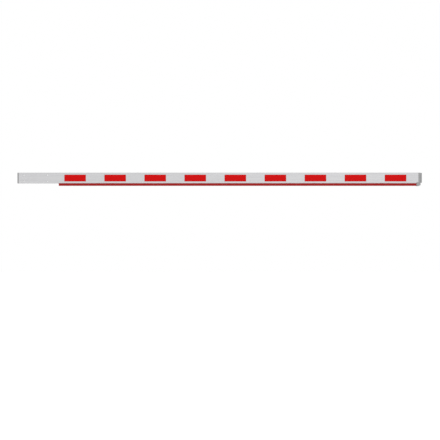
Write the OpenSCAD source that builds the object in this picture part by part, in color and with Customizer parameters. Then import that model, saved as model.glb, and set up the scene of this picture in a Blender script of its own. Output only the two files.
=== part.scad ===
// Telescopic barrier boom. The outer section is bolted to a barrier's arm bracket through four holes,
// the inner section slides out of its far end, and both carry a rubber bumper below and red reflectors.
// Frame: the origin is the middle of the four mounting holes on the rear face, +X runs towards the tip,
// +Z is up and the front face looks along -Y. All sizes are in millimetres.

/* [Mounting] */
// Distance between the two columns of mounting holes, along the boom
hole_pitch_x = 220; // [160:5:300]
// Distance between the two rows of mounting holes
hole_pitch_z = 55; // [40:1:62]
// Diameter of the mounting holes
hole_d = 10.5; // [8.5:0.5:13]
// From the cut end of the outer section to the first column of holes
hole_edge = 45; // [36:1:90]
// Wall of the reinforcing tube inside the mounting end
insert_wall = 4; // [3:0.5:6]
// How far the reinforcing tube reaches past the second column of holes
insert_margin = 18; // [12:1:60]
// Wall of the spacer sleeves that the mounting bolts pass through
spacer_wall = 2.5; // [1.5:0.5:4]

/* [Outer section] */
// Length of the outer section
outer_len = 3705; // [3500:5:4600]
// Height of the outer section
outer_h = 100; // [94:1:115]
// Depth of the outer section, front to rear
outer_d = 45; // [43:1:56]
// Wall of the outer section
outer_wall = 2.5; // [2:0.1:3.2]
// Radius of the upper edges
outer_top_r = 7; // [5:0.5:10]
// Radius of the lower edges
outer_low_r = 10; // [7:0.5:12]
// Width of the slot along the underside
slot_w = 26; // [24:1:28]
// Distance from the slot's edge to the runner rib beside it
rail_offset = 3; // [2.6:0.1:3.5]
// Thickness of the runner ribs that the guide shoe rides on
rail_t = 2; // [1.5:0.1:2.2]
// Height of the runner ribs above the floor of the section
rail_rise = 4; // [3:0.5:6]
// Width of the grooves along both faces
groove_w = 1.2; // [0.6:0.1:2]
// Depth of the grooves along both faces
groove_depth = 0.8; // [0.4:0.1:1.2]
// Height of the grooves above and below the middle of a section
groove_z = 20; // [17.5:0.5:21.5]

/* [Inner section] */
// Length of the inner section
inner_len = 1650; // [1450:5:2000]
// How far the inner section slides out
stroke = 1150; // [600:5:1250]
// Wall of the inner section
inner_wall = 2.2; // [1.8:0.1:2.8]
// Radius of the edges of the inner section
inner_r = 5; // [3.5:0.5:7]
// Height of the inner section above the runner ribs
inner_lift = 2.7; // [1.5:0.1:4]
// Width of the mouth of the slot that holds the inner bumper
mouth_w = 10; // [8:0.5:12]
// Width of the channel behind that mouth
channel_w = 16; // [14:0.5:18]
// Height of the channel
channel_h = 5; // [4:0.5:7]
// Length of the guide shoe's block, in front of the inner section's rear end
shoe_len = 15; // [10:1:40]
// Length of the guide shoe's plug inside the inner section
shoe_plug = 60; // [45:1:120]
// Diameter of the pins that hold the guide shoe
pin_d = 5; // [4:0.5:6]

/* [Clearances] */
// Gap between fixed pieces that plug into each other
fit = 0.1; // [0.05:0.05:0.2]
// Running gap of pieces that slide or turn
glide = 0.3; // [0.25:0.05:0.5]
// Gap between the tip cap and the collar when the boom is closed
tip_gap = 0.5; // [0.3:0.1:2]

/* [Bumpers] */
// Width of the outer bumper
bumper_w = 36; // [34:1:40]
// Height of the outer bumper below the section
bumper_drop = 22; // [19:0.5:30]
// Wall of the outer bumper
bumper_wall = 3; // [2:0.25:3.5]
// Radius of the outer bumper's lower edges
bumper_r = 9; // [5:0.5:12]
// From the middle of the mounting holes to the start of the outer bumper
bumper_start = 215; // [180:1:260]
// Thickness of the legs that hold the outer bumper in the slot
leg_t = 2; // [1.5:0.1:2.5]
// How far the barbs on those legs reach out over the slot's lips
barb_reach = 2.5; // [1:0.1:2.6]
// Height of the barbs
barb_h = 2; // [1:0.1:2.5]
// Thickness of the plug's plate at the start of the outer bumper
end_plug_t = 6; // [3:0.5:15]
// Length of that plug inside the bumper
end_plug_len = 18; // [10:1:40]
// Height of the inner bumper below the inner section
foot_drop = 17; // [12:0.5:18]
// Radius of the inner bumper's lower edges
foot_r = 6; // [3:0.5:9]
// Bore along the inner bumper
foot_bore = 9; // [5:0.5:11]
// Gap between the inner bumper and what it passes through
foot_gap = 1; // [0.5:0.1:1.5]

/* [Collar] */
// Length of the collar on the end of the outer section
collar_len = 20; // [19:0.5:32]
// Length of the lug below the collar
lug_len = 37; // [34:0.5:60]
// How far the lug climbs the faces of the section
lug_climb = 13; // [6:0.5:20]
// Thickness of the lug beside the faces of the section
lug_wrap = 1.8; // [1.2:0.1:3]
// How far the lug reaches below the outer bumper
lug_below = 3; // [1:0.5:8]
// Length of the chamfer on the lug's lower end
chamfer_len = 20; // [8:0.5:26]
// Height of the chamfer on the lug's lower end
chamfer_h = 9.5; // [4:0.5:11]
// Thickness of the collar's lip that traps the liners
lip_t = 3; // [2:0.5:6]
// Gap between that lip and the inner section
lip_gap = 0.8; // [0.7:0.1:1.2]
// Thickness of the glide liners
liner_t = 1.5; // [1.2:0.1:2]
// How far the glide liners reach into the outer section
liner_in = 22; // [10:1:60]
// Diameter of the collar screws
collar_screw_d = 4; // [3:0.5:4.5]
// Length of the lug that the collar screws clamp
collar_clamp = 8; // [5:0.5:12]

/* [Lock] */
// Diameter of the lock screw
lock_d = 8; // [6:1:8]
// Wall of the threaded bush that the lock screw turns in
bush_wall = 1.5; // [1:0.25:2]
// Wall of the boss around that bush
boss_wall = 3.5; // [2:0.25:3.8]
// How far the boss stands out from the rear of the collar
boss_out = 9; // [6:0.5:14]
// Length of the pressure pad
pad_len = 5; // [4.5:0.5:7]
// Gap below the lock screw's head when the lock is tight
lock_stand = 3; // [2:0.5:6]
// Height of the lock screw's head
lock_head_h = 8; // [5:0.5:10]

/* [Caps] */
// Thickness of the cap at the mounting end
root_cap_t = 13; // [4:0.5:20]
// Thickness of the cap at the tip
tip_cap_t = 12; // [6:0.5:25]
// How far the tip cap reaches past the outline of the inner section
tip_rim = 2.5; // [1:0.1:3.5]
// Length of the plugs behind both caps
plug_len = 22; // [16:1:28]
// Wall of the plugs
plug_wall = 3; // [2:0.5:4]
// Diameter of the screws in the tip cap
tip_screw_d = 4; // [3:0.5:5]

/* [Stop rivets] */
// Diameter of the shank of the stop rivets
rivet_d = 4.8; // [4:0.2:5.6]
// Diameter of the outer head of the stop rivets
rivet_head_d = 8; // [7:0.5:9]
// Gap between the tails of the stop rivets and the inner section
rivet_gap = 0.6; // [0.5:0.1:0.8]

/* [Reflectors] */
// Number of reflectors on each face of the outer section
outer_tapes = 9; // [3:1:9]
// Length of a reflector on the outer section
outer_tape_len = 200; // [120:5:300]
// Height of a reflector on the outer section
outer_tape_h = 63; // [50:1:64]
// From the last reflector to the far end of the outer section
outer_tape_end = 112; // [40:1:300]
// From the middle of the mounting holes to the first reflector
outer_tape_start = 267; // [200:1:320]
// Length of a reflector on the inner section
inner_tape_len = 250; // [120:5:300]
// Height of a reflector on the inner section
inner_tape_h = 32; // [20:1:34]
// Distance from one reflector to the next on the inner section
inner_tape_pitch = 525; // [320:5:700]
// From the last reflector to the tip end of the inner section
inner_tape_end = 156; // [60:1:300]
// Thickness of the reflectors
tape_t = 0.4; // [0.2:0.05:0.5]
// Radius of the reflectors' corners
tape_r = 3; // [1:0.5:8]

/* [Hidden] */
$fn = 48;
over = 0.5;      // how far a cut runs past the face that it opens
bore_fn = 64;

// Levels and places of the outer section
mid_y = -outer_d / 2;
top_z = outer_h / 2;
under_z = -outer_h / 2;
floor_z = under_z + outer_wall;
ceiling_z = top_z - outer_wall;
cavity_w = outer_d - 2 * outer_wall;
rail_y = slot_w / 2 + rail_offset;
rail_z = floor_z + rail_rise;
outer_x0 = -hole_pitch_x / 2 - hole_edge;
outer_x1 = outer_x0 + outer_len;

// The inner section fills the cavity but for the liners and their running gap
inner_gap = fit + liner_t + glide;
inner_w = cavity_w - 2 * inner_gap;
inner_top = ceiling_z - inner_gap;
inner_low = rail_z + inner_lift;
inner_mid = (inner_top + inner_low) / 2;
inner_rear = mid_y + inner_w / 2;
channel_top = inner_low + 2 * inner_wall + channel_h;

// Bumpers
neck_y = slot_w / 2 - leg_t;
bumper_low = under_z - bumper_drop;
foot_w = 2 * (neck_y - foot_gap);
foot_low = inner_low - foot_drop;

// Collar and lug
collar_x1 = outer_x1 + collar_len;
lug_x0 = collar_x1 - lug_len;
lug_low = bumper_low - lug_below;
lug_top = under_z + lug_climb;
lug_top_r = 1.5;
collar_screw_x = (lug_x0 + outer_x1) / 2;
collar_screw_y = rail_y + rail_t / 2;
collar_seat_z = under_z - collar_clamp;
collar_screw_tip = rail_z - 1;
collar_head_d = 1.9 * collar_screw_d;
collar_head_h = 0.7 * collar_screw_d;

// Inner section, its stops and its liners
inner_x1 = collar_x1 + tip_gap;
inner_x0 = inner_x1 - inner_len;
rivet_tail_d = 1.35 * rivet_d;
rivet_tail_t = inner_gap - rivet_gap;
rivet_head_h = 1.2;
stop_gap = 1;
rivet_x = inner_x0 + stroke + stop_gap + rivet_tail_d / 2;
rivet_z = outer_tape_h / 2 + rivet_head_d / 2 + 1;
pin_x = inner_x0 + shoe_plug / 2;
pin_z = 15;

// Lock: the pad bears on the inner section between the upper groove and the upper liner
lock_x = outer_x1 + collar_len / 2;
lock_side = 1.5;
lock_z = inner_mid + groove_z + groove_w / 2 + lock_side + lock_d / 2;
lock_shank_d = lock_d - 2 * glide;
bush_d = lock_d + 2 * bush_wall;
boss_d = bush_d + 2 * boss_wall;
pad_y0 = inner_rear + glide;
pad_y1 = pad_y0 + pad_len;
lock_head_y = boss_out + lock_stand;
lock_head_d = 1.6 * lock_d;
lock_key_w = 0.75 * lock_d;
liner_top_z = lock_z + lock_d / 2 + lock_side;
liner_low_z1 = inner_mid - groove_z - groove_w / 2 - 1;
liner_low_z0 = inner_low + inner_r;

// Tip cap screws, countersunk into the rear wall of the inner section
tip_screw_x = inner_x1 - plug_len / 2;
tip_screw_z = 12;
tip_screw_len = 8;
tip_head_d = 1.8 * tip_screw_d;
tip_head_h = 0.4 * tip_screw_d;

// The outer reflectors are spread evenly between the first and the last
outer_tape_x1 = outer_x1 - outer_tape_end - outer_tape_len;
outer_tape_pitch = (outer_tape_x1 - outer_tape_start) / (outer_tapes - 1);
inner_tapes = 2;
faces = ["front", "rear"];

function numbered(name, count) = [for (i = [1:count]) str(name, "_", i)];

// Height of the outer section's underside at a distance y from the middle plane
function underside(y) =
    let (flat = outer_d / 2 - outer_low_r)
    under_z + (y > flat ? outer_low_r - sqrt(pow(outer_low_r, 2) - pow(y - flat, 2)) : 0);

// --- Outlines in the Y-Z plane, measured from the middle plane of the boom ---

// Upright rectangle from z0 to z1 with round upper and lower corners
module upright(w, z0, z1, r_top, r_low) {
    translate([-w / 2, z0 + r_low]) square([w, z1 - z0 - r_top - r_low]);
    translate([-w / 2 + r_low, z0]) square([w - 2 * r_low, z1 - z0 - r_top]);
    translate([-w / 2 + r_top, z0 + r_low]) square([w - 2 * r_top, z1 - z0 - r_low]);
    for (side = [-1, 1]) {
        if (r_low > 0) translate([side * (w / 2 - r_low), z0 + r_low]) circle(r_low);
        if (r_top > 0) translate([side * (w / 2 - r_top), z1 - r_top]) circle(r_top);
    }
}

// The child and its mirror image on the other side of the middle plane
module both_sides() {
    children();
    mirror([1, 0]) children();
}

// Shallow grooves on both faces of a section w deep, above and below its middle height
module grooves(w, middle_z) {
    for (side = [-1, 1], z = [-groove_z, groove_z])
        translate([side * w / 2, middle_z + z]) square([2 * groove_depth, groove_w], center = true);
}

module outer_outline() {
    upright(outer_d, under_z, top_z, outer_top_r, outer_low_r);
}

// Hollow of the outer section, drawn in by a clearance and cut off below low_z
module cavity_fill(clearance, low_z) {
    intersection() {
        upright(cavity_w - 2 * clearance, floor_z + clearance, ceiling_z - clearance,
            outer_top_r - outer_wall - min(clearance, outer_top_r - outer_wall - 0.2),
            outer_low_r - outer_wall - min(clearance, outer_low_r - outer_wall - 0.2));
        translate([-cavity_w / 2, low_z]) square([cavity_w, top_z - low_z]);
    }
}

// Hollow of the outer section, around the two runner ribs on its floor
module outer_hollow() {
    difference() {
        cavity_fill(0, under_z);
        both_sides() translate([rail_y, under_z]) square([rail_t, rail_z - under_z]);
    }
}

// Metal of the outer section: the wall and its ribs, the slot below and the grooves
module outer_metal() {
    difference() {
        outer_outline();
        outer_hollow();
        translate([-slot_w / 2, under_z - over]) square([slot_w, outer_wall + 2 * over]);
        grooves(outer_d, 0);
    }
}

// Outline of the inner section, grown on all sides
module inner_outline(grow) {
    upright(inner_w + 2 * grow, inner_low - grow, inner_top + grow, inner_r + grow, inner_r + grow);
}

// Metal of the inner section: the wall, the channel for its bumper and the grooves
module inner_metal() {
    difference() {
        union() {
            difference() {
                inner_outline(0);
                inner_outline(-inner_wall);
            }
            translate([-channel_w / 2 - inner_wall, inner_low + inner_wall / 2])
                square([channel_w + 2 * inner_wall, channel_top - inner_low - inner_wall / 2]);
        }
        translate([-channel_w / 2, inner_low + inner_wall]) square([channel_w, channel_h]);
        translate([-mouth_w / 2, inner_low - over]) square([mouth_w, inner_wall + 2 * over]);
        grooves(inner_w, inner_mid);
    }
}

// Hollow of the inner section above its channel, drawn in by a clearance
module inner_fill(clearance) {
    intersection() {
        inner_outline(-inner_wall - clearance);
        translate([-inner_w / 2, channel_top + clearance])
            square([inner_w, inner_top - channel_top - clearance]);
    }
}

// Outer bumper: a hollow D below the section, with barbed legs in the slot
module bumper_outline() {
    difference() {
        union() {
            upright(bumper_w, bumper_low, underside(bumper_w / 2) + over, 0, bumper_r);
            both_sides() {
                translate([neck_y, under_z - over]) square([leg_t, outer_wall + barb_h + over]);
                translate([neck_y, floor_z - over]) square([leg_t + barb_reach, barb_h + over]);
            }
        }
        outer_metal();
        bumper_hollow(0);
        translate([-neck_y, under_z - bumper_wall - over])
            square([2 * neck_y, bumper_wall + outer_wall + barb_h + 2 * over]);
    }
}

module bumper_hollow(clearance) {
    upright(bumper_w - 2 * bumper_wall - 2 * clearance, bumper_low + bumper_wall + clearance,
        under_z - bumper_wall - clearance, 0, bumper_r - bumper_wall - clearance);
}

// Inner bumper: a round-edged foot on a T-shaped root
module foot_outline() {
    difference() {
        union() {
            upright(foot_w, foot_low, inner_low, 0, foot_r);
            translate([-mouth_w / 2 + fit, inner_low - over])
                square([mouth_w - 2 * fit, inner_wall + 2 * over]);
            translate([-channel_w / 2 + fit, inner_low + inner_wall + fit])
                square([channel_w - 2 * fit, channel_h - 2 * fit]);
        }
        translate([0, foot_low + foot_drop / 2]) circle(d = foot_bore);
    }
}

// --- Placing ---

// Extrudes an outline along the boom from x0
module along_x(x0, length) {
    translate([x0, mid_y, 0]) rotate([90, 0, 90]) linear_extrude(length) children();
}

// A round rod towards the rear from y0, at a place along the boom and a height
module rod_y(x, z, y0, length, d, d_end) {
    translate([x, y0, z]) rotate([-90, 0, 0])
        cylinder(d1 = d, d2 = is_undef(d_end) ? d : d_end, h = length, $fn = bore_fn);
}

// Calls its child at one mounting hole: 1 and 2 are the column near the end, lower row first
module at_hole(i) {
    translate([(i > 2 ? 1 : -1) * hole_pitch_x / 2, 0, (i % 2 == 0 ? 1 : -1) * hole_pitch_z / 2])
        children();
}

module mount_bores() {
    for (i = [1:4]) at_hole(i) rod_y(0, 0, -outer_d - over, outer_d + 2 * over, hole_d);
}

// --- Mounting end ---

module outer_section() {
    color("silver") difference() {
        along_x(outer_x0, outer_len) outer_metal();
        mount_bores();
        for (side = [-1, 1]) {
            rod_y(rivet_x, side * rivet_z, -outer_wall - over, outer_wall + 2 * over, rivet_d);
            translate([collar_screw_x, mid_y + side * collar_screw_y, under_z - over])
                cylinder(d = collar_screw_d, h = collar_screw_tip - under_z + over, $fn = bore_fn);
        }
    }
}

module root_cap() {
    color("gray") {
        along_x(outer_x0 - root_cap_t, root_cap_t) outer_outline();
        along_x(outer_x0 - over, plug_len + over) difference() {
            cavity_fill(fit, rail_z + fit);
            cavity_fill(fit + plug_wall, rail_z + fit + plug_wall);
        }
    }
}

module mount_insert() {
    insert_x0 = outer_x0 + plug_len + 1;
    color("lightgray") difference() {
        along_x(insert_x0, hole_pitch_x / 2 + insert_margin - insert_x0) difference() {
            cavity_fill(fit, rail_z + fit);
            cavity_fill(fit + insert_wall, rail_z + fit + insert_wall);
        }
        mount_bores();
    }
}

module mount_spacer(i) {
    inside_w = cavity_w - 2 * (fit + insert_wall);
    color("dimgray") at_hole(i) difference() {
        rod_y(0, 0, mid_y - inside_w / 2, inside_w, hole_d + 2 * spacer_wall);
        rod_y(0, 0, mid_y - inside_w / 2 - over, inside_w + 2 * over, hole_d);
    }
}

// --- Outer bumper ---

module outer_bumper() {
    color("firebrick") along_x(bumper_start + end_plug_t, lug_x0 - bumper_start - end_plug_t)
        bumper_outline();
}

module bumper_end_plug() {
    color("firebrick") {
        along_x(bumper_start, end_plug_t) difference() {
            upright(bumper_w, bumper_low, underside(bumper_w / 2) + over, 0, bumper_r);
            outer_outline();
        }
        along_x(bumper_start + end_plug_t - over, end_plug_len + over) bumper_hollow(fit);
    }
}

// --- Collar ---

module collar() {
    color("darkgray") difference() {
        union() {
            along_x(outer_x1, collar_len) outer_outline();
            difference() {
                along_x(lug_x0, lug_len)
                    upright(outer_d + 2 * lug_wrap, lug_low, lug_top, lug_top_r, bumper_r);
                along_x(lug_x0 - over, outer_x1 - lug_x0 + over) outer_outline();
            }
            rod_y(lock_x, lock_z, -outer_wall / 2, outer_wall / 2 + boss_out, boss_d);
        }
        along_x(outer_x1 - over, collar_len - lip_t + over) cavity_fill(0, inner_low - glide);
        along_x(outer_x1, collar_len + over) inner_outline(lip_gap);
        along_x(lug_x0 - over, lug_len + 2 * over)
            upright(foot_w + 2 * foot_gap, foot_low - foot_gap, inner_low + over, 0, foot_r);
        lug_chamfer();
        for (side = [-1, 1]) translate([collar_screw_x, mid_y + side * collar_screw_y, 0]) {
            translate([0, 0, lug_low - over])
                cylinder(d = collar_head_d + 1, h = collar_seat_z - lug_low + over, $fn = bore_fn);
            translate([0, 0, collar_seat_z - over])
                cylinder(d = collar_screw_d + 2 * fit, h = collar_clamp + outer_low_r, $fn = bore_fn);
        }
        rod_y(lock_x, lock_z, 0, boss_out + over, bush_d);
        rod_y(lock_x, lock_z, -outer_wall - over, outer_wall + 2 * over, lock_d);
    }
}

module lug_chamfer() {
    translate([collar_x1, mid_y + outer_d, lug_low]) rotate([90, 0, 0]) linear_extrude(2 * outer_d)
        polygon([[-chamfer_len, 0], [-chamfer_len, -over], [over, -over], [over, chamfer_h], [0, chamfer_h]]);
}

module collar_screw(side) {
    color("dimgray") translate([collar_screw_x, mid_y + side * collar_screw_y, 0]) difference() {
        union() {
            translate([0, 0, collar_seat_z - collar_head_h])
                cylinder(d = collar_head_d, h = collar_head_h, $fn = bore_fn);
            translate([0, 0, collar_seat_z - over])
                cylinder(d = collar_screw_d - fit, h = collar_screw_tip - collar_seat_z, $fn = bore_fn);
        }
        translate([0, 0, collar_seat_z - collar_head_h - over])
            cylinder(d = collar_screw_d / 2, h = collar_head_h / 2 + over, $fn = 6);
    }
}

// One glide liner: the skin inside the cavity between two heights, on one side or both
module liner(z0, z1, y0, y1) {
    color("white") along_x(outer_x1 - liner_in, liner_in + collar_len - lip_t) intersection() {
        difference() {
            cavity_fill(fit, under_z);
            cavity_fill(fit + liner_t, under_z);
        }
        translate([y0, z0]) square([y1 - y0, z1 - z0]);
    }
}

module stop_rivet(side) {
    color("gainsboro") {
        rod_y(rivet_x, side * rivet_z, 0, rivet_head_h, rivet_head_d, rivet_head_d - rivet_head_h);
        rod_y(rivet_x, side * rivet_z, -outer_wall - over, outer_wall + 2 * over, rivet_d - fit);
        rod_y(rivet_x, side * rivet_z, -outer_wall - rivet_tail_t, rivet_tail_t, rivet_tail_d);
    }
}

// --- Lock ---

module lock_bush() {
    color("goldenrod") difference() {
        rod_y(lock_x, lock_z, 0, boss_out, bush_d - fit);
        rod_y(lock_x, lock_z, -over, boss_out + 2 * over, lock_d);
    }
}

module lock_pad() {
    color("goldenrod") rod_y(lock_x, lock_z, pad_y0, pad_len, lock_shank_d);
}

module lock_screw() {
    color("dimgray") difference() {
        union() {
            rod_y(lock_x, lock_z, pad_y1, lock_head_y - pad_y1 + over, lock_shank_d);
            rod_y(lock_x, lock_z, lock_head_y, lock_head_h, lock_head_d);
        }
        translate([lock_x, lock_head_y + lock_head_h / 2, lock_z]) rotate([-90, 0, 0])
            cylinder(d = lock_key_w / cos(30), h = lock_head_h / 2 + over, $fn = 6);
    }
}

// --- Inner section ---

module inner_section() {
    color("silver") difference() {
        along_x(inner_x0, inner_len) inner_metal();
        for (side = [-1, 1]) {
            rod_y(pin_x, inner_mid + side * pin_z, mid_y - inner_w / 2 - over, inner_w + 2 * over, pin_d);
            tip_screw_space(side, fit);
        }
    }
}

module inner_bumper() {
    color("firebrick") along_x(inner_x0, inner_len) foot_outline();
}

module guide_shoe() {
    color("dimgray") difference() {
        union() {
            along_x(inner_x0 - shoe_len, shoe_len) cavity_fill(glide, rail_z + glide);
            along_x(inner_x0 - over, shoe_plug + over) inner_fill(fit);
        }
        along_x(inner_x0 - shoe_len - over, shoe_len + shoe_plug + 2 * over) inner_fill(plug_wall + fit);
        for (side = [-1, 1])
            rod_y(pin_x, inner_mid + side * pin_z, mid_y - inner_w / 2, inner_w, pin_d);
    }
}

module shoe_pin(side) {
    color("lightgray")
        rod_y(pin_x, inner_mid + side * pin_z, mid_y - inner_w / 2, inner_w, pin_d - fit);
}

module tip_cap() {
    color("gray") difference() {
        union() {
            along_x(inner_x1, tip_cap_t) inner_outline(tip_rim);
            along_x(inner_x1 - plug_len, plug_len + over) inner_fill(fit);
        }
        along_x(inner_x1 - plug_len - over, plug_len + over) inner_fill(plug_wall + fit);
        for (side = [-1, 1]) tip_screw_space(side, fit);
    }
}

// A countersunk screw's body, or the hole for it when grown
module tip_screw_space(side, grow) {
    z = inner_mid + side * tip_screw_z;
    d = tip_screw_d + grow;
    rod_y(tip_screw_x, z, inner_rear - tip_screw_len, tip_screw_len + grow, d);
    rod_y(tip_screw_x, z, inner_rear - tip_head_h, tip_head_h + grow, d, tip_head_d + 3 * grow);
}

module tip_screw(side) {
    color("dimgray") difference() {
        tip_screw_space(side, 0);
        translate([tip_screw_x, inner_rear - tip_head_h, inner_mid + side * tip_screw_z])
            rotate([-90, 0, 0]) cylinder(d = tip_screw_d / 2, h = tip_head_h + over, $fn = 6);
    }
}

// --- Reflectors ---

// A flat reflector on the front or the rear of a section w deep, from x and around the height z
module reflector(face, w, x, z, length, height) {
    y = face == "front" ? mid_y - w / 2 : mid_y + w / 2 + tape_t;
    color("red") translate([x + length / 2, y, z]) rotate([90, 0, 0]) linear_extrude(tape_t)
        upright(length, -height / 2, height / 2, tape_r, tape_r);
}

module outer_reflector(face, i) {
    reflector(face, outer_d, outer_tape_start + (i - 1) * outer_tape_pitch, 0, outer_tape_len, outer_tape_h);
}

module inner_reflector(face, i) {
    x = inner_x1 - inner_tape_end - inner_tape_len - (inner_tapes - i) * inner_tape_pitch;
    reflector(face, inner_w, x, inner_mid, inner_tape_len, inner_tape_h);
}

outer_section();
root_cap();
mount_insert();
for (i = [1:4]) mount_spacer(i);
outer_bumper();
bumper_end_plug();
collar();
for (i = [1, 2]) collar_screw(2 * i - 3);
liner(liner_top_z, top_z, -cavity_w / 2, cavity_w / 2);  // liner_top
liner(liner_low_z0, liner_low_z1, -cavity_w / 2, 0);  // liner_front
liner(liner_low_z0, liner_low_z1, 0, cavity_w / 2);  // liner_rear
lock_bush();
for (i = [1, 2]) stop_rivet(2 * i - 3);
for (face = faces, i = [1:outer_tapes])
    outer_reflector(face, i);
inner_section();
inner_bumper();
guide_shoe();
for (i = [1, 2]) shoe_pin(2 * i - 3);
tip_cap();
for (i = [1, 2]) tip_screw(2 * i - 3);
for (face = faces, i = [1:inner_tapes])
    inner_reflector(face, i);
lock_pad();
lock_screw();
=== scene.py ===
"""Looks of a telescopic barrier boom, dressed over its packed construction model."""

import logging
import math
from collections.abc import Callable
from dataclasses import dataclass
from enum import Enum

import bmesh
import bpy
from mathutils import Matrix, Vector


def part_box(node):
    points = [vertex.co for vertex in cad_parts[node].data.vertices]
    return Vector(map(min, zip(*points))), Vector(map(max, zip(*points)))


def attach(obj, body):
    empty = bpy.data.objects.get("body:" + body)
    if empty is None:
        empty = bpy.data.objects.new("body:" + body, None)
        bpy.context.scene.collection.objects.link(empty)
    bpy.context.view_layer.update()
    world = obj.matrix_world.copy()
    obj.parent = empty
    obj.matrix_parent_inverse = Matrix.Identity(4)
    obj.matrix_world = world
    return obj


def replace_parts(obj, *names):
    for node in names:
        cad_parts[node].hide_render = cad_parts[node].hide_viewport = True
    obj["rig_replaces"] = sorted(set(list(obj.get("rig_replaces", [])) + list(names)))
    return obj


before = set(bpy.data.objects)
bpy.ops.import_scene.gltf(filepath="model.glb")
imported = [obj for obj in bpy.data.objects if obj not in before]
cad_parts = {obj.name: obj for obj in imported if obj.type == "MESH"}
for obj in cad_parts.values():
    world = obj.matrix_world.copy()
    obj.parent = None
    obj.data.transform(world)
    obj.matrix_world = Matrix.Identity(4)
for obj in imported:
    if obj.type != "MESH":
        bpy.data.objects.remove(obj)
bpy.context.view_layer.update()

LOG = logging.getLogger("boom")
MM = 0.001
# Points closer than this are the same point
SAME = 0.01 * MM
# A face looks along an axis, or squarely along it, from this cosine on
FACING = 0.9
SQUARE = 0.999

Test = Callable[[Vector, Vector], bool]
Colour = tuple[float, float, float, float]
Size = tuple[float, float, float]
Range = tuple[float, float]
Material = bpy.types.Material
Node = bpy.types.Node
Piece = bpy.types.Object
Socket = bpy.types.NodeSocket
Tree = bpy.types.NodeTree


class Body(Enum):
    """The moving parts that carry modelled pieces."""

    OUTER = "outer_boom"
    INNER = "inner_boom"
    SCREW = "lock_screw"


class Slot(Enum):
    """The record's material slots that modelled pieces fill."""

    CAP = "cap_plastic"
    RUBBER = "red_rubber"
    REFLECTOR = "reflector"
    STEEL = "steel"
    RIVET = "rivet"
    BRASS = "brass"


class Face(Enum):
    """The two broad faces of the boom, each with the direction it looks in along Y."""

    FRONT = -1
    REAR = 1


# --- Colours and shader nodes ---


def linear(code: str) -> Colour:
    """Turn an sRGB hex value into the linear colour that a shader takes.

    Args:
        code: Six hex digits after a hash.

    Returns:
        The colour with full alpha.
    """
    shares = [int(code[i : i + 2], 16) / 255 for i in (1, 3, 5)]
    r, g, b = (s / 12.92 if s <= 0.04045 else ((s + 0.055) / 1.055) ** 2.4 for s in shares)
    return r, g, b, 1.0


def add_node(
    tree: Tree,
    kind: str,
    settings: dict[str | int, object] | None = None,
    links: dict[str | int, Socket] | None = None,
) -> Node:
    """Add one shader node with its settings and links.

    Args:
        tree: The node tree to add it to.
        kind: The node's type.
        settings: Values by the name of a property, or by the name or number of an input.
        links: The sockets that feed its inputs, by the input's name or number.

    Returns:
        The new node.
    """
    node = tree.nodes.new(kind)
    for key, value in (settings or {}).items():
        if isinstance(key, int) or key in node.inputs:
            node.inputs[key].default_value = value
        else:
            setattr(node, key, value)
    for key, socket in (links or {}).items():
        tree.links.new(socket, node.inputs[key])
    return node


def placed(tree: Tree, size_mm: Size, turn: float = 0.0) -> Socket:
    """Lay a pattern on the object's own place, one unit of it to each real size.

    Args:
        tree: The node tree.
        size_mm: The size in millimetres of one unit of the pattern along X, Y and Z.
        turn: Turn about Y in radians.

    Returns:
        The socket with the pattern's coordinates.
    """
    at = add_node(tree, "ShaderNodeTexCoord").outputs["Object"]
    if turn:
        at = add_node(tree, "ShaderNodeMapping", {"Rotation": (0.0, turn, 0.0)}, {"Vector": at}).outputs[0]
    scale = tuple(1 / (s * MM) for s in size_mm)
    return add_node(tree, "ShaderNodeMapping", {"Scale": scale}, {"Vector": at}).outputs[0]


def noise(tree: Tree, size_mm: Size, detail: float = 2.0, roughness: float = 0.5) -> Socket:
    """Add smooth noise.

    Args:
        tree: The node tree.
        size_mm: The size in millimetres of its forms along X, Y and Z.
        detail: How many finer layers it has.
        roughness: How strong the finer layers are.

    Returns:
        The socket with the noise.
    """
    settings = {"Scale": 1.0, "Detail": detail, "Roughness": roughness}
    return add_node(tree, "ShaderNodeTexNoise", settings, {"Vector": placed(tree, size_mm)}).outputs[0]


def blend(tree: Tree, share: Socket, first: str, second: str) -> Socket:
    """Blend two colours.

    Args:
        tree: The node tree.
        share: The second colour's share.
        first: The first colour's hex value.
        second: The second colour's hex value.

    Returns:
        The socket with the blended colour.
    """
    settings = {"data_type": "RGBA", 6: linear(first), 7: linear(second)}
    return add_node(tree, "ShaderNodeMix", settings, {0: share}).outputs[2]


def ranged(tree: Tree, value: Socket, to: Range = (0.0, 1.0), out_of: Range = (0.0, 1.0)) -> Socket:
    """Stretch a value from one range to another.

    Args:
        tree: The node tree.
        value: The value.
        to: The range that it gets.
        out_of: The range that it has.

    Returns:
        The socket with the new value.
    """
    settings = {"From Min": out_of[0], "From Max": out_of[1], "To Min": to[0], "To Max": to[1]}
    return add_node(tree, "ShaderNodeMapRange", settings, {"Value": value}).outputs[0]


def relief(tree: Tree, height: Socket, strength: float, depth_mm: float) -> Socket:
    """Turn a height into a small relief of the surface.

    Args:
        tree: The node tree.
        height: The height.
        strength: The relief's strength.
        depth_mm: Its depth in millimetres at full height.

    Returns:
        The socket with the surface's normal.
    """
    settings = {"Strength": strength, "Distance": depth_mm * MM}
    return add_node(tree, "ShaderNodeBump", settings, {"Height": height}).outputs[0]


def surface(
    tree: Tree, settings: dict[str | int, object], tint: Socket, normal: Socket, gloss: Socket | None = None
) -> Node:
    """Add the surface's shader.

    Args:
        tree: The node tree.
        settings: The values that are the same all over.
        tint: Its colour.
        normal: Its normal.
        gloss: Its roughness, where that varies.

    Returns:
        The shader.
    """
    links = {"Base Color": tint, "Normal": normal}
    if gloss is not None:
        links["Roughness"] = gloss
    return add_node(tree, "ShaderNodeBsdfPrincipled", settings, links)


# --- Finishes ---


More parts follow.
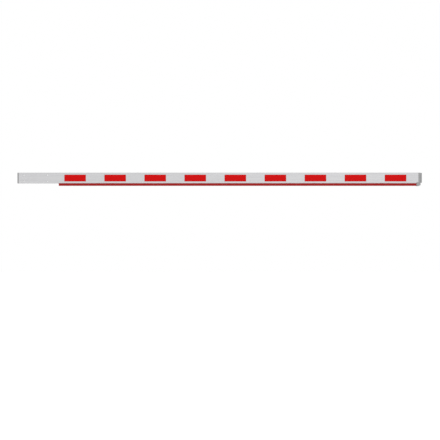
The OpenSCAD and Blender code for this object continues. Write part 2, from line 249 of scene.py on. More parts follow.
@dataclass(frozen=True)
class Finish:
    """What a surface is made of and how it was made."""

    name: str

    def material(self) -> Material:
        """Build the finish's material once, and hand it out each time.

        Returns:
            The material.
        """
        made = bpy.data.materials.get(self.name)
        if made is None:
            made = bpy.data.materials.new(self.name)
            made.use_nodes = True
            made.node_tree.nodes.clear()
            shader = self.shade(made.node_tree)
            add_node(made.node_tree, "ShaderNodeOutputMaterial", links={"Surface": shader.outputs[0]})
        return made

    def shade(self, tree: Tree) -> Node:
        """Build the shader; each finish has its own.

        Args:
            tree: The material's empty node tree.

        Returns:
            The node whose first output is the surface.
        """
        raise NotImplementedError


@dataclass(frozen=True)
class DrawnMetal(Finish):
    """Extruded aluminium: long, fine die lines and a satin skin.

    The eye gets a pale even grey, drawn out along the boom, with hardly any gloss. The lines are drawn
    several times wider than real die lines, which are too fine to show.
    """

    name: str = "anodised_aluminium"
    colour: str = "#CBCBCC"
    shade_colour: str = "#BCBCBE"
    line_mm: float = 1.3
    line_len_mm: float = 320.0
    line_band: Range = (0.32, 0.68)
    cloud_mm: Size = (180.0, 40.0, 40.0)
    cloud_share: float = 0.3
    roughness: Range = (0.36, 0.54)
    line_strength: float = 0.4
    line_depth_mm: float = 0.03

    def shade(self, tree: Tree) -> Node:
        """Draw the die lines into colour, roughness and relief.

        Args:
            tree: The material's empty node tree.

        Returns:
            The shader.
        """
        lines = noise(tree, (self.line_len_mm, self.line_mm, self.line_mm), 3.0, 0.65)
        drawn = ranged(tree, lines, out_of=self.line_band)
        # The skin clouds a little over a hand's width
        clouds = noise(tree, self.cloud_mm, 1.0)
        share = add_node(tree, "ShaderNodeMix", {"data_type": "FLOAT", 0: self.cloud_share},
                         {2: drawn, 3: clouds})
        tint = blend(tree, share.outputs[0], self.shade_colour, self.colour)
        gloss = ranged(tree, drawn, (self.roughness[1], self.roughness[0]))
        normal = relief(tree, lines, self.line_strength, self.line_depth_mm)
        return surface(tree, {"Metallic": 1.0}, tint, normal, gloss)


@dataclass(frozen=True)
class MouldedPlastic(Finish):
    """Injection-moulded plastic out of a spark-eroded tool: a fine, even grain and a low sheen.

    The grain is drawn a few times coarser than the real one, which is too fine to show.
    """

    name: str = "moulded_polyamide"
    colour: str = "#AAAAAA"
    shade_colour: str = "#969697"
    grain_mm: float = 1.0
    roughness: Range = (0.48, 0.62)
    drift_mm: float = 14.0
    grain_smoothness: float = 0.6
    grain_strength: float = 0.9
    grain_depth_mm: float = 0.25

    def shade(self, tree: Tree) -> Node:
        """Grain the surface and let its colour drift a little.

        Args:
            tree: The material's empty node tree.

        Returns:
            The shader.
        """
        settings = {"feature": "SMOOTH_F1", "Scale": 1.0, "Smoothness": self.grain_smoothness}
        at = placed(tree, (self.grain_mm,) * 3)
        grain = add_node(tree, "ShaderNodeTexVoronoi", settings, {"Vector": at}).outputs[0]
        tint = blend(tree, noise(tree, (self.drift_mm,) * 3), self.shade_colour, self.colour)
        gloss = ranged(tree, grain, self.roughness)
        normal = relief(tree, grain, self.grain_strength, self.grain_depth_mm)
        return surface(tree, {"IOR": 1.53, "Specular IOR Level": 0.3}, tint, normal, gloss)


@dataclass(frozen=True)
class ExtrudedRubber(Finish):
    """Extruded red rubber: matt, with die lines drawn coarser than real ones and a dusty bloom."""

    name: str = "extruded_rubber"
    colour: str = "#9E1E1C"
    bloom_colour: str = "#A8302D"
    line_mm: float = 0.8
    line_len_mm: float = 120.0
    dust_mm: Size = (30.0, 12.0, 12.0)
    dust_band: Range = (0.45, 0.75)
    roughness: Range = (0.62, 0.86)
    line_strength: float = 0.5
    line_depth_mm: float = 0.05

    def shade(self, tree: Tree) -> Node:
        """Draw the die lines and the bloom.

        Args:
            tree: The material's empty node tree.

        Returns:
            The shader.
        """
        lines = noise(tree, (self.line_len_mm, self.line_mm, self.line_mm))
        dust = noise(tree, self.dust_mm, 4.0, 0.7)
        tint = blend(tree, ranged(tree, dust, out_of=self.dust_band), self.colour, self.bloom_colour)
        gloss = ranged(tree, dust, self.roughness)
        normal = relief(tree, lines, self.line_strength, self.line_depth_mm)
        return surface(tree, {"IOR": 1.52, "Specular IOR Level": 0.12}, tint, normal, gloss)


@dataclass(frozen=True)
class PrismaticSheeting(Finish):
    """Red retroreflective film: prism cells under a clear face, sealed along a net of diamonds.

    The eye gets a strong flat red that breaks up into bright and dark cells from near by; that brightness is
    painted glint, standing in for the prisms' sparkle. The prisms are drawn a few times coarser than real
    ones, which are too fine to show.
    """

    name: str = "prismatic_sheeting"
    colour: str = "#D90407"
    dark_cell: str = "#C90306"
    seal_colour: str = "#DB2B28"
    diamond_mm: float = 6.0
    seal_mm: float = 0.5
    seal_blur: float = 0.3
    prism_mm: float = 0.9
    prism_disorder: float = 0.35
    strength: float = 0.25
    depth_mm: float = 0.04

    def shade(self, tree: Tree) -> Node:
        """Draw the prisms and, over them, the net of seal lines.

        Args:
            tree: The material's empty node tree.

        Returns:
            The shader.
        """
        prisms = add_node(tree, "ShaderNodeTexVoronoi", {"Scale": 1.0, "Randomness": self.prism_disorder},
                          {"Vector": placed(tree, (self.prism_mm,) * 3)})
        # Painted glint: each prism cell gets a slightly brighter or darker red, standing in for the sparkle
        # of the prisms
        level = add_node(tree, "ShaderNodeSeparateColor", links={0: prisms.outputs["Color"]})
        painted_glint_cells = blend(tree, level.outputs[0], self.dark_cell, self.colour)
        net = self.seal_net(tree)
        tint = add_node(tree, "ShaderNodeMix", {"data_type": "RGBA", 7: linear(self.seal_colour)},
                        {0: net, 6: painted_glint_cells}).outputs[2]
        height = add_node(tree, "ShaderNodeMath", {"operation": "SUBTRACT"},
                          {0: prisms.outputs["Distance"], 1: net}).outputs[0]
        normal = relief(tree, height, self.strength, self.depth_mm)
        return surface(tree, {"IOR": 1.49, "Roughness": 0.34, "Specular IOR Level": 0.06}, tint, normal)

    def seal_net(self, tree: Tree) -> Socket:
        """Draw the net of diamonds across the boom's broad faces.

        Args:
            tree: The node tree.

        Returns:
            A socket that is 1 on the seal lines.
        """
        at = placed(tree, (self.diamond_mm,) * 3, math.radians(45))
        flat = add_node(tree, "ShaderNodeSeparateXYZ", links={0: at})
        on_face = add_node(tree, "ShaderNodeCombineXYZ", links={0: flat.outputs[0], 1: flat.outputs[2]})
        settings = {"offset": 0.0, "squash": 1.0, "Scale": 1.0, "Brick Width": 1.0, "Row Height": 1.0,
                    "Mortar Size": self.seal_mm / self.diamond_mm / 2, "Mortar Smooth": self.seal_blur}
        return add_node(tree, "ShaderNodeTexBrick", settings, {"Vector": on_face.outputs[0]}).outputs["Fac"]


@dataclass(frozen=True)
class SealedEdge(Finish):
    """The sealed edge of the film, where it was pressed flat and cut: darker and a little cloudy."""

    name: str = "sealed_film_edge"
    colour: str = "#A81719"
    worn_colour: str = "#8E1215"
    cloud_mm: float = 3.0
    strength: float = 0.2
    depth_mm: float = 0.03

    def shade(self, tree: Tree) -> Node:
        """Cloud the pressed edge.

        Args:
            tree: The material's empty node tree.

        Returns:
            The shader.
        """
        clouds = noise(tree, (self.cloud_mm,) * 3, 3.0)
        tint = blend(tree, clouds, self.colour, self.worn_colour)
        normal = relief(tree, clouds, self.strength, self.depth_mm)
        return surface(tree, {"IOR": 1.49, "Roughness": 0.4, "Specular IOR Level": 0.25}, tint, normal)


@dataclass(frozen=True)
class SpottedMetal(Finish):
    """Small metal parts: zinc-plated steel, turned brass or bare rivets, with a faint mottle."""

    name: str = "zinc_plated_steel"
    colour: str = "#B4B6BA"
    stain_colour: str = "#97999C"
    spot_mm: float = 1.5
    roughness: Range = (0.26, 0.42)
    strength: float = 0.2
    depth_mm: float = 0.02

    def shade(self, tree: Tree) -> Node:
        """Mottle the metal's colour and gloss.

        Args:
            tree: The material's empty node tree.

        Returns:
            The shader.
        """
        spots = noise(tree, (self.spot_mm,) * 3, 4.0, 0.65)
        tint = blend(tree, spots, self.colour, self.stain_colour)
        gloss = ranged(tree, spots, self.roughness)
        normal = relief(tree, spots, self.strength, self.depth_mm)
        return surface(tree, {"Metallic": 1.0}, tint, normal, gloss)


ANODISED = DrawnMetal()
MILL_FINISH = DrawnMetal(
    "mill_finish_aluminium", "#B9BABC", "#A9AAAD", line_mm=0.6, line_len_mm=90.0, roughness=(0.35, 0.5)
)
CAP_GREY = MouldedPlastic()
SHOE_BLACK = MouldedPlastic("moulded_acetal_dark", "#3A3B3D", "#303133")
LINER_WHITE = MouldedPlastic(
    "moulded_acetal_white", "#E6E4DC", "#DAD8D0", grain_mm=0.5, roughness=(0.35, 0.48)
)
RED_RUBBER = ExtrudedRubber()
RED_FILM = PrismaticSheeting()
FILM_EDGE = SealedEdge()
ZINC = SpottedMetal()
RIVET_METAL = SpottedMetal("drawn_rivet_aluminium", "#CACBCC", "#B2B4B6", spot_mm=2.0, roughness=(0.22, 0.36))
BRASS = SpottedMetal("turned_brass", "#C8A45C", "#A98443", spot_mm=1.2, roughness=(0.24, 0.4))


# --- Modelling by hand ---


def start() -> None:
    """Leave edit mode and deselect everything."""
    if bpy.context.object and bpy.context.object.mode != "OBJECT":
        bpy.ops.object.mode_set(mode="OBJECT")
    bpy.ops.object.select_all(action="DESELECT")


def take(piece: Piece) -> None:
    """Leave edit mode, and make one piece the active and only selected one.

    Args:
        piece: The piece to work on.
    """
    start()
    bpy.context.view_layer.objects.active = piece
    piece.select_set(True)


def edit(piece: Piece, kind: str = "FACE") -> None:
    """Open a piece in edit mode with nothing selected.

    Args:
        piece: The piece to work on.
        kind: What is selected in it: VERT, EDGE or FACE.
    """
    take(piece)
    bpy.ops.object.mode_set(mode="EDIT")
    bpy.ops.mesh.select_mode(type=kind)
    bpy.ops.mesh.select_all(action="DESELECT")


def pick_faces(piece: Piece, test: Test) -> None:
    """Select faces of the piece in edit mode by place and normal.

    Args:
        piece: The piece in edit mode.
        test: Tells from a face's middle and its normal whether it is wanted.
    """
    bpy.ops.mesh.select_mode(type="FACE")
    mesh = bmesh.from_edit_mesh(piece.data)
    for face in mesh.faces:
        face.select_set(bool(test(face.calc_center_median(), face.normal)))
    mesh.select_flush_mode()
    bmesh.update_edit_mesh(piece.data)


def pick_edges(piece: Piece, test: Test) -> None:
    """Select edges of the piece in edit mode by their ends.

    Args:
        piece: The piece in edit mode.
        test: Tells from an edge's two ends whether it is wanted.
    """
    bpy.ops.mesh.select_mode(type="EDGE")
    mesh = bmesh.from_edit_mesh(piece.data)
    for line in mesh.edges:
        line.select_set(False)
    for line in mesh.edges:
        if test(line.verts[0].co, line.verts[1].co):
            line.select_set(True)
    bmesh.update_edit_mesh(piece.data)


def settle(piece: Piece, name: str) -> Piece:
    """Name a new primitive and put its place into its mesh.

    Args:
        piece: The new object.
        name: Its name.

    Returns:
        The same object, at the origin, unturned and unscaled.
    """
    piece.name = name
    piece.data.name = name
    bpy.ops.object.transform_apply(location=True, rotation=True, scale=True)
    return piece


def block(name: str, low: Vector, high: Vector) -> Piece:
    """Add a cube that fills the space between two corners.

    Args:
        name: The piece's name.
        low: Its lowest corner.
        high: Its highest corner.

    Returns:
        The new piece.
    """
    start()
    bpy.ops.mesh.primitive_cube_add(size=1, location=(low + high) / 2, scale=high - low)
    return settle(bpy.context.object, name)


def turned(name: str, base: Vector, length: float, width: float, sides: int, axis: str = "Y") -> Piece:
    """Add a cylinder that stands on a point.

    Args:
        name: The piece's name.
        base: The middle of its lower end.
        length: Its length along the axis.
        width: Its diameter.
        sides: How many sides it has.
        axis: Y or Z.

    Returns:
        The new piece.
    """
    start()
    along = Vector((0, 1, 0)) if axis == "Y" else Vector((0, 0, 1))
    turn = (-math.pi / 2, 0, 0) if axis == "Y" else (0, 0, 0)
    bpy.ops.mesh.primitive_cylinder_add(vertices=sides, radius=width / 2, depth=length,
                                        location=base + along * length / 2, rotation=turn)
    return settle(bpy.context.object, name)


def copy_of(node: str, name: str, weld: float = 0.002 * MM, flat: float = math.radians(0.5)) -> Piece:
    """Copy a construction node as one merged mesh with flat faces undivided.

    Args:
        node: The construction node.
        name: The new piece's name.
        weld: Points closer than this are merged.
        flat: Faces that bend by less than this angle are joined.

    Returns:
        The new piece.
    """
    start()
    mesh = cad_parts[node].data.copy()
    mesh.materials.clear()
    mesh.name = name
    piece = bpy.data.objects.new(name, mesh)
    bpy.context.scene.collection.objects.link(piece)
    edit(piece, "VERT")
    bpy.ops.mesh.customdata_custom_splitnormals_clear()
    bpy.ops.mesh.select_all(action="SELECT")
    bpy.ops.mesh.remove_doubles(threshold=weld)
    bpy.ops.mesh.dissolve_limited(angle_limit=flat)
    start()
    return piece


def soften(piece: Piece, width: float, angle: float = 35.0, steps: int = 2) -> None:
    """Round the sharp edges of a piece with a bevel that is applied.

    Args:
        piece: The piece.
        width: The bevel's width in metres.
        angle: Edges that bend by more than this many degrees are rounded.
        steps: How many faces the rounding has.
    """
    take(piece)
    bevel = piece.modifiers.new("soft_edges", "BEVEL")
    bevel.width = width
    bevel.segments = steps
    bevel.limit_method = "ANGLE"
    bevel.angle_limit = math.radians(angle)
    bevel.use_clamp_overlap = True
    bpy.ops.object.modifier_apply(modifier=bevel.name)


def finished(piece: Piece, body: Body, finish: Finish, node: str, angle: float = 30.0) -> Piece:
    """Smooth a piece, dress it, and let it ride in place of its construction node.

    Args:
        piece: The modelled piece.
        body: The moving part that carries it.
        finish: The finish of a piece that has none yet.
        node: The construction node that it stands for.
        angle: Edges that bend by less than this many degrees look smooth.

    Returns:
        The same piece.
    """
    take(piece)
    bpy.ops.object.shade_smooth_by_angle(angle=math.radians(angle))
    if not piece.data.materials:
        piece.data.materials.append(finish.material())
    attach(piece, body.value)
    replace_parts(piece, node)
    LOG.info("%s: %d faces, %s", piece.name, len(piece.data.polygons), finish.name)
    return piece


def dress_node(finish: Finish, *nodes: str) -> None:
    """Give construction nodes a finish.

    Args:
        finish: The finish.
        nodes: The nodes that get it.
    """
    for node in nodes:
        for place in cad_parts[node].material_slots:
            place.material = finish.material()
        LOG.info("%s: kept, %s", node, finish.name)


# --- Sub-assemblies ---


@dataclass(frozen=True)
class Plug:
    """The hollow plug behind a cap.

    It is drawn in from the plate's outline, and its floor is lifted over what lies in the section.
    """

    draw_in: float
    lift: float
    length: float = 22 * MM
    wall: float = 3 * MM


@dataclass
class Cap:
    """A moulded end cap: a plate with the section's outline, a sunk panel and a hollow plug."""

    plug: Plug
    plate: float = 12 * MM
    corner_top: float = 7 * MM
    corner_low: float = 10 * MM
    rim: float = 1.4 * MM
    border: float = 5 * MM
    recess: float = 0.8 * MM
    draft_share: float = 0.6
    weld: float = 0.001 * MM
    steps: int = 8

    def build(self, node: str, body: Body, outward: int) -> None:
        """Model the cap from a block and dress it.

        Args:
            node: The construction node that it stands for.
            body: The moving part that carries it.
            outward: -1 where it closes the left end, 1 where it closes the right end.
        """
        low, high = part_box(node)
        if outward < 0:
            high = Vector((low.x + self.plate, high.y, high.z))
        else:
            low = Vector((high.x - self.plate, low.y, low.z))
        piece = block(node + "_moulding", low, high)
        edit(piece)
        middle_z = (low.z + high.z) / 2
        for above, radius in ((True, self.corner_top), (False, self.corner_low)):
            pick_edges(piece, lambda a, b: abs(a.x - b.x) > self.plate / 2 and (a.z > middle_z) == above)
            bpy.ops.mesh.bevel(offset=radius, offset_type="OFFSET", segments=self.steps, affect="EDGES")
        self.shape_face(piece, outward)
        self.shape_plug(piece, outward)
        finished(piece, body, CAP_GREY, node)

    def shape_face(self, piece: Piece, outward: int) -> None:
        """Round the outer rim and sink a panel into the end.

        Args:
            piece: The cap in edit mode.
            outward: The direction along X in which the end looks.
        """
        pick_faces(piece, lambda middle, normal: normal.x * outward > FACING)
        bpy.ops.mesh.bevel(offset=self.rim, segments=3, affect="EDGES")
        pick_faces(piece, lambda middle, normal: normal.x * outward > SQUARE)
        bpy.ops.mesh.inset(thickness=self.border)
        bpy.ops.mesh.inset(thickness=self.draft_share * self.recess, depth=-self.recess)
        # A narrow ring keeps the panel's middle flat to the eye
        bpy.ops.mesh.inset(thickness=(1 - self.draft_share) * self.recess)

    def shape_plug(self, piece: Piece, outward: int) -> None:
        """Draw the hollow plug out of the inner side.

        Args:
            piece: The cap in edit mode.
            outward: The direction along X in which the end looks.
        """
        plug = self.plug
        pick_faces(piece, lambda middle, normal: normal.x * outward < -FACING)
        bpy.ops.mesh.inset(thickness=plug.draw_in)
        mesh = bmesh.from_edit_mesh(piece.data)
        chosen = [v for v in mesh.verts if v.select]
        floor = min(v.co.z for v in chosen)
        for v in chosen:
            v.co.z = max(v.co.z, floor + plug.lift)
        bmesh.update_edit_mesh(piece.data)
        back = Vector((-outward, 0, 0))
        bpy.ops.mesh.extrude_region_move(TRANSFORM_OT_translate={"value": back * plug.length})
        bpy.ops.mesh.inset(thickness=plug.wall)
        bpy.ops.mesh.extrude_region_move(TRANSFORM_OT_translate={"value": back * -(plug.length - plug.wall)})
        bpy.ops.mesh.select_all(action="SELECT")
        bpy.ops.mesh.remove_doubles(threshold=self.weld)
        bpy.ops.mesh.normals_make_consistent(inside=False)


@dataclass
class Reflectors:
    """Rows of reflective film on both faces of a section."""

    section: str
    body: Body
    count: int
    corner: float = 3 * MM
    corner_steps: int = 6
    edge: float = 1.6 * MM
    step: float = 0.12 * MM

    def build(self) -> None:
        """Model one film for each face, and copy it along the row."""
        for face in Face:
            row = f"{self.section}_reflector_{face.name.lower()}_"
            first, *others = (row + str(i) for i in range(1, self.count + 1))
            film = self.model(first, face)
            for node in others:
                self.repeat(film, first, node)

    def model(self, node: str, face: Face) -> Piece:
        """Model one film with its sealed edge.

        Args:
            node: The construction node that it stands for.
            face: The face that it is stuck to.

        Returns:
            The film.
        """
        low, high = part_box(node)
        centre = (low + high) / 2
        size = high - low
        out = face.value
        piece = block(node + "_film", low, high)
        edit(piece)
        pick_edges(piece, lambda a, b: abs(a.y - b.y) > size.y / 2)
        bpy.ops.mesh.bevel(offset=self.corner, segments=self.corner_steps, affect="EDGES")
        piece.data.materials.append(FILM_EDGE.material())
        piece.data.materials.append(RED_FILM.material())
        pick_faces(piece, lambda middle, normal: normal.y * out > FACING)
        bpy.ops.mesh.inset(thickness=self.edge)
        pick_faces(piece, lambda middle, normal: normal.y * out > FACING
                   and abs(middle.x - centre.x) < size.x / 4 and abs(middle.z - centre.z) < size.z / 4)
        bpy.ops.mesh.inset(thickness=self.step, depth=0)
        piece.active_material_index = 1
        bpy.ops.object.material_slot_assign()
        # The pressed edge lies a little lower than the prisms
        skin_y = low.y if out < 0 else high.y
        mesh = bmesh.from_edit_mesh(piece.data)
        raised = {v for facet in mesh.faces if facet.select for v in facet.verts}
        for v in mesh.verts:
            if v not in raised and abs(v.co.y - skin_y) < SAME:
                v.co.y -= out * self.step
        bmesh.update_edit_mesh(piece.data)
        return finished(piece, self.body, RED_FILM, node)

    def repeat(self, film: Piece, first: str, node: str) -> None:
        """Copy the first film to another place in its row.

        Args:
            film: The first film.
            first: The construction node that it stands for.
            node: The construction node that the copy stands for.
        """
        copy = film.copy()
        copy.data = film.data.copy()
        copy.name = copy.data.name = node + "_film"
        copy.parent = None
        bpy.context.scene.collection.objects.link(copy)
        take(copy)
        copy.location.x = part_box(node)[0].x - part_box(first)[0].x
        bpy.ops.object.transform_apply(location=True, rotation=False, scale=False)
        copy["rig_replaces"] = []
        finished(copy, self.body, RED_FILM, node)


@dataclass(frozen=True)
class SocketScrew:
    """A cylinder-head screw with a knurled head and a hexagon socket."""

    head_width: float
    head_length: float
    shank_width: float
    key_width: float
    pitch: float
    ridges: int = 36
    groove: float = 0.22 * MM
    groove_rim: float = 0.12 * MM
    chamfer_share: float = 0.06
    socket_share: float = 0.5
    socket_over: float = 0.5 * MM
    shank_sides: int = 24
    shank_over: float = 0.2 * MM
    thread_share: float = 0.55

    def build(self, node: str, body: Body, axis: str, heading: int) -> None:
        """Model the screw in its node's place and dress it.

        Args:
            node: The construction node that it stands for.
            body: The moving part that carries it.
            axis: The axis it lies along, Y or Z.
            heading: 1 where the head is at the high end of the axis, -1 at the low end.
        """
        low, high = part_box(node)
        step = 1 if axis == "Y" else 2
        tip, top = (low[step], high[step]) if heading > 0 else (high[step], low[step])
        seat = top - heading * self.head_length
        base = (low + high) / 2
        base[step] = min(seat, top)
        head = turned(node + "_screw", base, self.head_length, self.head_width, 2 * self.ridges, axis)
        edit(head)
        self.knurl(head, step, heading)
        self.sink_socket(head, base, top, axis, heading)
        base[step] = min(tip, seat)
        shank = self.thread(node + "_shank", base, abs(seat - tip) + self.shank_over, axis)
        take(head)
        shank.select_set(True)
        bpy.ops.object.join()
        finished(head, body, ZINC, node)

    def knurl(self, head: Piece, step: int, heading: int) -> None:
        """Chamfer the head's top and press grooves into its side.

        Args:
            head: The head in edit mode.
            step: The number of its axis.
            heading: The direction in which its top looks.
        """
        pick_faces(head, lambda middle, normal: normal[step] * heading > FACING)
        bpy.ops.mesh.bevel(offset=self.chamfer_share * self.head_width, segments=2, affect="EDGES")
        mesh = bmesh.from_edit_mesh(head.data)
        sides = [f for f in mesh.faces if abs(f.normal[step]) < 0.05]
        centre = sum((f.calc_center_median() for f in sides), Vector()) / len(sides)
        across = [i for i in range(3) if i != step]
        sides.sort(key=lambda f: math.atan2(*(f.calc_center_median()[i] - centre[i] for i in across)))
        for face in mesh.faces:
            face.select_set(False)
        for face in sides[::2]:
            face.select_set(True)
        mesh.select_flush_mode()
        bmesh.update_edit_mesh(head.data)
        bpy.ops.mesh.inset(thickness=self.groove_rim, depth=-self.groove, use_individual=True)

    def sink_socket(self, head: Piece, middle: Vector, top: float, axis: str, heading: int) -> None:
        """Cut the hexagon socket with a turned cutter.

        Args:
            head: The head.
            middle: A point on its axis.
            top: The place of its top along the axis.
            axis: The axis it lies along.
            heading: The direction in which its top looks.
        """
        depth = self.socket_share * self.head_length
        base = middle.copy()
        base[1 if axis == "Y" else 2] = top - depth if heading > 0 else top - self.socket_over
        across_corners = self.key_width / math.cos(math.pi / 6)
        cutter = turned(head.name + "_cutter", base, depth + self.socket_over, across_corners, 6, axis)
        take(head)
        cut = head.modifiers.new("socket", "BOOLEAN")
        cut.object = cutter
        cut.operation = "DIFFERENCE"
        bpy.ops.object.modifier_apply(modifier=cut.name)
        bpy.data.objects.remove(cutter)

    def thread(self, name: str, base: Vector, length: float, axis: str) -> Piece:
        """Model the shank with a ridge for each turn of the thread.

        Args:
            name: The piece's name.
            base: The middle of its lower end.
            length: Its length.
            axis: The axis it lies along.

        Returns:
            The shank.
        """
        step = 1 if axis == "Y" else 2
        shank = turned(name, base, length, self.shank_width, self.shank_sides, axis)
        edit(shank)
        rings = 2 * max(1, round(length / self.pitch))
        pick_edges(shank, lambda a, b: abs(a[step] - b[step]) > length / 2)
        bpy.ops.mesh.subdivide(number_cuts=rings - 1)
        mesh = bmesh.from_edit_mesh(shank.data)
        across = [i for i in range(3) if i != step]
        waist = 1 - self.thread_share * self.pitch / self.shank_width
        for v in mesh.verts:
            ring = round((v.co[step] - base[step]) / length * rings)
            if ring % 2 or ring in (0, rings):
                for i in across:
                    v.co[i] = base[i] + (v.co[i] - base[i]) * waist
        bmesh.update_edit_mesh(shank.data)
        start()
        return shank


COLLAR_SCREW = SocketScrew(
    head_width=7.6 * MM, head_length=2.8 * MM, shank_width=3.9 * MM, key_width=3 * MM, pitch=0.7 * MM,
    ridges=24, groove=0.12 * MM,
)
LOCK_SCREW = SocketScrew(
    head_width=12.8 * MM, head_length=8 * MM, shank_width=7.4 * MM, key_width=6 * MM, pitch=1.25 * MM
)


def soft_copy(node: str, body: Body, finish: Finish, width: float) -> None:
    """Round the edges of a copy of a construction node and dress it.

    Args:
        node: The construction node that the copy stands for.
        body: The moving part that carries it.
        finish: Its finish.
        width: The width of the rounding.
    """
    piece = copy_of(node, node + "_soft")
    soften(piece, width)
    finished(piece, body, finish, node)


@dataclass
class OuterBoom:
    """The fixed section: profile, root cap, bolt insert, bumper, collar, lock bush and reflectors."""

    root_plate: float = 13 * MM
    wall: float = 2.5 * MM
    fit: float = 0.1 * MM
    rib_rise: float = 4 * MM
    spacers: int = 4
    reflectors: int = 9
    plug_edge: float = 1.5 * MM
    collar_edge: float = 0.7 * MM
    bush_edge: float = 0.4 * MM
    rivet_edge: float = 0.35 * MM

    def build(self) -> None:
        """Build and dress the sub-assembly."""
        dress_node(ANODISED, "outer_section")
        dress_node(MILL_FINISH, "mount_insert", *(f"mount_spacer_{i + 1}" for i in range(self.spacers)))
        dress_node(RED_RUBBER, "outer_bumper")
        dress_node(LINER_WHITE, "liner_top", "liner_front", "liner_rear")
        plug = Plug(draw_in=self.wall + self.fit, lift=self.rib_rise)
        Cap(plug, plate=self.root_plate).build("root_cap", Body.OUTER, -1)
        soft_copy("bumper_end_plug", Body.OUTER, RED_RUBBER, self.plug_edge)
        soft_copy("collar", Body.OUTER, CAP_GREY, self.collar_edge)
        soft_copy("lock_bush", Body.OUTER, BRASS, self.bush_edge)
        for i in (1, 2):
            soft_copy(f"stop_rivet_{i}", Body.OUTER, RIVET_METAL, self.rivet_edge)
            COLLAR_SCREW.build(f"collar_screw_{i}", Body.OUTER, "Z", -1)
        Reflectors("outer", Body.OUTER, self.reflectors).build()


@dataclass
class InnerBoom:
    """The sliding section: profile, bumper, guide shoe, tip cap and reflectors."""

    tip_plate: float = 12 * MM
    tip_corner: float = 7.5 * MM
    tip_border: float = 4.5 * MM
    tip_plug: Plug = Plug(draw_in=4.8 * MM, lift=7.2 * MM)
    screw_edge: float = 0.15 * MM
    reflectors: int = 2

    def build(self) -> None:
        """Build and dress the sub-assembly."""
        dress_node(ANODISED, "inner_section")
        dress_node(RED_RUBBER, "inner_bumper")
        dress_node(SHOE_BLACK, "guide_shoe")
        dress_node(ZINC, "shoe_pin_1", "shoe_pin_2")
        cap = Cap(self.tip_plug, plate=self.tip_plate, corner_top=self.tip_corner, corner_low=self.tip_corner,
                  border=self.tip_border)
        cap.build("tip_cap", Body.INNER, 1)
        for i in (1, 2):
            soft_copy(f"tip_screw_{i}", Body.INNER, ZINC, self.screw_edge)
        Reflectors("inner", Body.INNER, self.reflectors).build()


@dataclass
class Lock:
    """The clamping screw with its brass pad."""

    screw: SocketScrew = LOCK_SCREW

    def build(self) -> None:
        """Build and dress the sub-assembly."""
        dress_node(BRASS, "lock_pad")
        self.screw.build("lock_screw", Body.SCREW, "Y", 1)


# --- Studio ---


@dataclass(frozen=True)
class Lamp:
    """A soft area lamp: its place, the point that it faces, its size and its power in watts."""

    name: str
    place: tuple[float, float, float]
    at: tuple[float, float, float]
    size: tuple[float, float]
    power: float

    def hang(self) -> None:
        """Hang the lamp."""
        start()
        bpy.ops.object.light_add(type="AREA", location=self.place)
        lamp = bpy.context.object
        lamp.name = self.name
        lamp.data.shape = "RECTANGLE"
        lamp.data.size, lamp.data.size_y = self.size
        lamp.data.energy = self.power
        lamp.rotation_euler = (Vector(self.at) - Vector(self.place)).to_track_quat("-Z", "Y").to_euler()


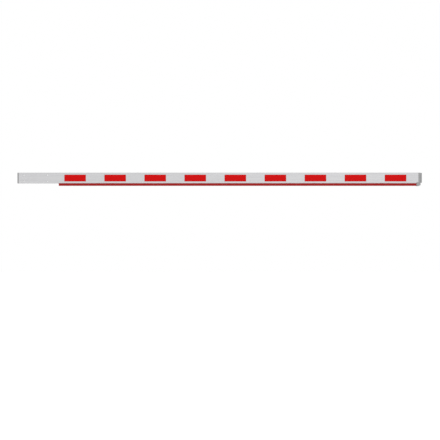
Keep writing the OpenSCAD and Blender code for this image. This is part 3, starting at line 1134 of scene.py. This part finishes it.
@dataclass
class Studio:
    """White floor and surround, soft lamps and a long-lens camera."""

    floor_drop: float = 2.6
    floor_size: float = 160.0
    floor_middle: float = 1.7
    floor_glow: float = 0.3
    speckle_mm: float = 400.0
    sky: float = 0.88
    lens: float = 200.0
    sight: float = 200.0
    span: float = 4.0796
    aim: tuple[float, float, float] = (1.7105, -0.045, -0.3889)
    key: Lamp = Lamp("key", place=(3.6, -6.0, 1.8), at=(1.9, 0.0, 0.0), size=(5.0, 2.5), power=32.0)
    fill: Lamp = Lamp("fill", place=(-2.5, -5.0, 0.5), at=(1.4, 0.0, 0.0), size=(3.0, 3.0), power=12.0)

    def build(self) -> None:
        """Make the camera, the world, the floor and the lamps."""
        self.place_camera()
        self.light_world()
        self.lay_floor()
        self.key.hang()
        self.fill.hang()

    def place_camera(self) -> None:
        """Set the camera level in front of the boom, so that its view spans the given width."""
        bpy.ops.object.camera_add(rotation=(math.pi / 2, 0, 0))
        camera = bpy.context.object
        camera.name = "camera"
        camera.data.lens = self.lens
        camera.data.clip_end = self.sight
        away = self.span / 2 / (camera.data.sensor_width / 2 / self.lens)
        camera.location = Vector(self.aim) - Vector((0, away, 0))
        bpy.context.scene.camera = camera

    def light_world(self) -> None:
        """Light softly from all round, and show white to the eye and in gloss."""
        world = bpy.data.worlds.new("studio_world")
        world.use_nodes = True
        bpy.context.scene.world = world
        tree = world.node_tree
        tree.nodes.clear()
        light = add_node(tree, "ShaderNodeBackground", {"Color": linear("#FFFFFF"), "Strength": self.sky})
        white = add_node(tree, "ShaderNodeBackground", {"Color": linear("#FFFFFF"), "Strength": 1.0})
        links = {0: self.seen_or_mirrored(tree), 1: light.outputs[0], 2: white.outputs[0]}
        mix = add_node(tree, "ShaderNodeMixShader", links=links)
        add_node(tree, "ShaderNodeOutputWorld", links={"Surface": mix.outputs[0]})

    def seen_or_mirrored(self, tree: Tree) -> Socket:
        """Tell rays that show the surround from rays that only carry light.

        Args:
            tree: The node tree.

        Returns:
            A socket that is 1 for camera, glossy and transmission rays.
        """
        path = add_node(tree, "ShaderNodeLightPath")
        first = add_node(tree, "ShaderNodeMath", {"operation": "MAXIMUM"},
                         {0: path.outputs["Is Camera Ray"], 1: path.outputs["Is Glossy Ray"]})
        return add_node(tree, "ShaderNodeMath", {"operation": "MAXIMUM"},
                        {0: first.outputs[0], 1: path.outputs["Is Transmission Ray"]}).outputs[0]

    def lay_floor(self) -> None:
        """Lay a white floor well below the boom; it keeps the boom's shadow."""
        start()
        middle = (self.floor_middle, 0, -self.floor_drop)
        bpy.ops.mesh.primitive_plane_add(size=self.floor_size, location=middle)
        floor = settle(bpy.context.object, "floor")
        paint = bpy.data.materials.new("matt_white_floor")
        paint.use_nodes = True
        tree = paint.node_tree
        tree.nodes.clear()
        tint = blend(tree, noise(tree, (self.speckle_mm,) * 3), "#F4F4F4", "#F8F8F8")
        matt = add_node(tree, "ShaderNodeBsdfDiffuse", links={"Color": tint})
        glow = add_node(tree, "ShaderNodeEmission", {"Color": linear("#FFFFFF"), "Strength": self.floor_glow})
        lit = add_node(tree, "ShaderNodeAddShader", links={0: matt.outputs[0], 1: glow.outputs[0]})
        links = {0: self.seen_or_mirrored(tree), 1: matt.outputs[0], 2: lit.outputs[0]}
        mix = add_node(tree, "ShaderNodeMixShader", links=links)
        add_node(tree, "ShaderNodeOutputMaterial", links={"Surface": mix.outputs[0]})
        floor.data.materials.append(paint)


def main() -> None:
    """Build the studio, then the sub-assemblies in order."""
    logging.basicConfig(level=logging.INFO, format="%(message)s")
    bpy.context.scene.view_settings.view_transform = "Standard"
    Studio().build()
    OuterBoom().build()
    InnerBoom().build()
    Lock().build()
    start()


if __name__ == "__main__":
    main()
